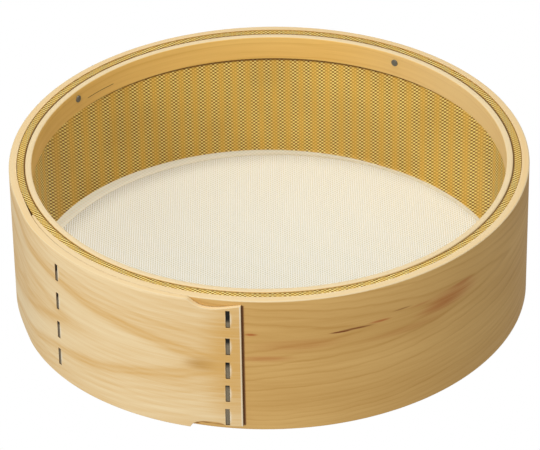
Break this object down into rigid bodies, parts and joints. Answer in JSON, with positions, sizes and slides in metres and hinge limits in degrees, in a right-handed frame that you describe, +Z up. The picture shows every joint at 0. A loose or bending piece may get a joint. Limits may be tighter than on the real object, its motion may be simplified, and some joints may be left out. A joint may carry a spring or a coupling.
{
  "type": "tamis drum sieve",
  "caption": "Round drum sieve: a lapped and stapled bentwood hoop lined with brass wire cloth, which a thin nailed ring holds, for sifting flour and straining purees.",
  "frame": {"origin": "centre of the drum at the height of its bottom edge", "axes": "+Z up along the drum's axis, -Y towards the viewer of the picture, so the overlap's tab is near -Y"},
  "size_m": [0.3, 0.3011, 0.086],
  "materials": {
    "hoop_wood": "planed, unfinished softwood",
    "backing_wood": "planed, unfinished softwood",
    "ring_wood": "planed, unfinished softwood",
    "brass_cloth": "woven wire, satin",
    "staple_steel": "dull flat wire",
    "nail_steel": "dull"
  },
  "bodies": {
    "root": {"outer_hoop": "hoop_wood", "backing_hoop": "backing_wood", "wire_cloth": "brass_cloth", "retaining_ring": "ring_wood", "front_lap_staple_1": "staple_steel", "front_lap_staple_2": "staple_steel", "front_lap_staple_3": "staple_steel", "front_lap_staple_4": "staple_steel", "front_lap_staple_5": "staple_steel", "rear_lap_staple_1": "staple_steel", "rear_lap_staple_2": "staple_steel", "rear_lap_staple_3": "staple_steel", "rear_lap_staple_4": "staple_steel", "ring_nail_1": "nail_steel", "ring_nail_2": "nail_steel", "ring_nail_3": "nail_steel", "ring_nail_4": "nail_steel"}
  },
  "joints": []
}
